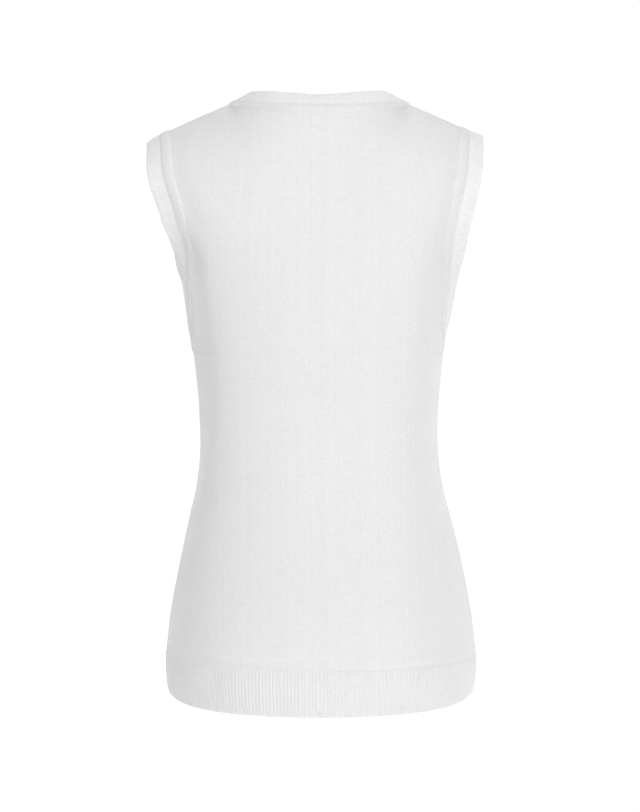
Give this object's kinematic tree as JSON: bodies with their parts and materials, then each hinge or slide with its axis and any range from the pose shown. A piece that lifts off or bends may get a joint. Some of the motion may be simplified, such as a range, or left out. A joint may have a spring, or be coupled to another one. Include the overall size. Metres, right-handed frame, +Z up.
{
  "type": "knitted sweater vest",
  "caption": "Fitted fine-knit sleeveless vest with ribbed V neckband, ribbed armhole bands and a deep ribbed hem, filled out as when worn.",
  "frame": {"origin": "midway between the middles of the two shoulder seams, where the wearer's shoulders hold the vest up", "axes": "+Z up towards the shoulders, +X to the wearer's left, +Y to the vest's back"},
  "size_m": [0.3318, 0.2343, 0.603],
  "materials": {
    "jersey": "fine plain knit, off-white, soft and matt",
    "rib": "one-by-one rib knit, off-white, soft and matt"
  },
  "bodies": {
    "root": {"back_panel": "jersey", "front_panel": "jersey", "hem_rib_back": "rib", "hem_rib_front": "rib", "armhole_band_left": "rib", "armhole_band_right": "rib", "neckband": "rib"}
  },
  "joints": []
}
